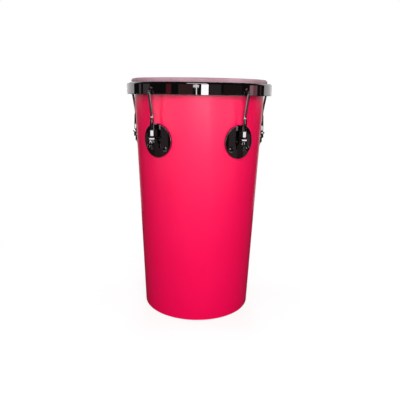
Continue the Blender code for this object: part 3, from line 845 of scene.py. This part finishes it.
def glowMaterial(name, level):
    # Plain light of the given red, green and blue
    finish = Finish(name)
    hue = tuple(share / max(level) for share in level) + (1,)
    finish.show(finish.add("ShaderNodeEmission", {}, {"Color": hue, "Strength": max(level)}))
    return finish.owner


def addScreen(name, points, faces, level):
    # A piece of the studio that only reflections see
    mesh = bpy.data.meshes.new(name)
    mesh.from_pydata(points.reshape(-1, 3).tolist(), [], faces)
    mesh.materials.append(glowMaterial(name, level))
    screen = bpy.data.objects.new(name, mesh)
    bpy.context.scene.collection.objects.link(screen)
    screen.visible_camera = False
    screen.visible_diffuse = False
    screen.visible_shadow = False


def addStrip(name, start, end, low, high, radius, level):
    # A curved strip of wall: (radius·sin t, -radius·cos t, height) for turns t from start to end, in
    # steps of about 4 degrees
    turns = np.radians(np.linspace(start, end, max(2, int((end - start) / 4) + 1)))
    heights = np.array([[low], [high]])
    points = np.stack([radius * np.sin(turns) + 0 * heights, -radius * np.cos(turns) + 0 * heights,
                       heights + 0 * turns], axis=2)
    count = len(turns)
    addScreen(name, points, [(k, k + 1, count + k + 1, count + k) for k in range(count - 1)], level)


def makeStudio():
    # The two stretches of wall, the panels just inside them, and a square ceiling
    radius, half = studio["wallRadius"], studio["ceilingHalf"]
    near, far = studio["paperSide"]
    for name, start, end in (("frontWall", -near, near), ("backWall", far, 360 - far)):
        addStrip(name, start, end, studio["wallLow"], studio["ceiling"], radius, (studio["wallLevel"],) * 3)
    for name, (start, end, low, high, level) in panels.items():
        addStrip(name, start, end, low, high, radius - studio["panelGap"], level)
    corners = np.array([(-half, -half), (half, -half), (half, half), (-half, half)])
    corners = np.concatenate([corners, np.full((4, 1), studio["ceiling"])], axis=1)
    addScreen("ceiling", corners, [(0, 1, 2, 3)], (studio["ceilingLevel"],) * 3)


floorLooks = {"radius": 0.9, "drop": 0.0005, "paper": 0.93, "seenFromDrum": 0.02, "roughness": 0.9,
              "gloss": 0.1, "fadeFrom": 0.15, "fadeTo": 0.75, "nearGlow": 0.75}


def makeFloor():
    # A round pale sheet with its rim at radius·(sin t, -cos t). The camera sees it brighten into
    # white paper away from the drum.
    looks = floorLooks
    turn = around(96)
    rim = np.stack([np.sin(turn), -np.cos(turn), 0 * turn], axis=1) * looks["radius"]
    mesh = bpy.data.meshes.new("floor")
    mesh.from_pydata(rim.tolist(), [], [tuple(range(len(rim)))])
    floor = bpy.data.objects.new("floor", mesh)
    bpy.context.scene.collection.objects.link(floor)
    floor.location.z = -looks["drop"]
    finish = Finish("floorPaper")
    seen = finish.add("ShaderNodeLightPath", output="Is Camera Ray")
    distance = finish.add("ShaderNodeVectorMath", {"operation": "LENGTH"}, {0: finish.place()}, output=1)
    fade = finish.add("ShaderNodeMapRange", {"interpolation_type": "SMOOTHSTEP"},
                      {"Value": distance, "From Min": looks["fadeFrom"], "From Max": looks["fadeTo"],
                       "To Min": looks["nearGlow"], "To Max": 1.0})
    tone = finish.blend(seen, (looks["seenFromDrum"],) * 3 + (1,), (looks["paper"],) * 3 + (1,))
    finish.use(Base_Color=tone, Roughness=looks["roughness"], Specular_IOR_Level=looks["gloss"])
    sheet = Signal(finish, finish.shader.outputs[0])
    glow = finish.add("ShaderNodeEmission")
    finish.show(finish.add("ShaderNodeMixShader", {}, {0: fade * seen, 1: sheet, 2: glow}))
    mesh.materials.append(finish.owner)


def makeWorld():
    # The camera and reflections see white paper all round, and the drum gets a faint even light
    world, white = Finish("studio", "World"), (1, 1, 1, 1)
    camera, glossy, through = (world.add("ShaderNodeLightPath", output=f"Is {ray} Ray")
                               for ray in ("Camera", "Glossy", "Transmission"))
    light = world.add("ShaderNodeBackground", {}, {"Color": white, "Strength": studio["ambient"]})
    paper = world.add("ShaderNodeBackground", {}, {"Color": white})
    seen = camera.larger(glossy).larger(through)
    world.show(world.add("ShaderNodeMixShader", {}, {0: seen, 1: light, 2: paper}))
    bpy.context.scene.world = world.owner


# Each lamp's turn round the drum in degrees, distance, height, width, length and power. All of
# them face a point in the middle of the shell.
lamps = {"keyLamp": (4, 1.45, 0.78, 0.8, 1.0, 26), "leftLamp": (-108, 2.2, 1.2, 1.0, 1.4, 18),
         "rightLamp": (110, 2.2, 1.2, 1.0, 1.4, 14), "backLamp": (180, 2.4, 1.0, 1.0, 1.4, 34),
         "topLamp": (0, 0.02, 2.6, 1.6, 1.6, 24)}
lampTarget = Vector((0, 0, 0.3))


def addLamp(name, turn, distance, height, width, length, power):
    lamp = bpy.data.lights.new(name, "AREA")
    lamp.shape = "RECTANGLE"
    lamp.size, lamp.size_y = width, length
    lamp.energy = power
    thing = bpy.data.objects.new(name, lamp)
    bpy.context.scene.collection.objects.link(thing)
    turn = math.radians(turn)
    thing.location = place = Vector((distance * math.sin(turn), -distance * math.cos(turn), height))
    thing.rotation_euler = (lampTarget - place).to_track_quat("-Z", "Y").to_euler()
    thing.visible_glossy = False


cameraPlace = {"lens": 39.49, "sensor": 36, "place": (0.00593, -1.06697, 0.52189), "pitch": 13.81,
               "roll": 0.93}


def makeCamera():
    # Looks along Y from its place, turned down by the pitch and then rolled
    lens = bpy.data.cameras.new("camera")
    lens.lens, lens.sensor_width = cameraPlace["lens"], cameraPlace["sensor"]
    camera = bpy.data.objects.new("camera", lens)
    bpy.context.scene.collection.objects.link(camera)
    level = Matrix.Rotation(math.radians(90 - cameraPlace["pitch"]), 4, "X")
    roll = Matrix.Rotation(math.radians(cameraPlace["roll"]), 4, "Z")
    camera.matrix_world = Matrix.Translation(cameraPlace["place"]) @ level @ roll
    bpy.context.scene.camera = camera


makeStudio()
makeFloor()
makeWorld()
for name, values in lamps.items():
    addLamp(name, *values)
makeCamera()
bpy.context.scene.view_settings.view_transform = "Standard"
print("The studio is lit")
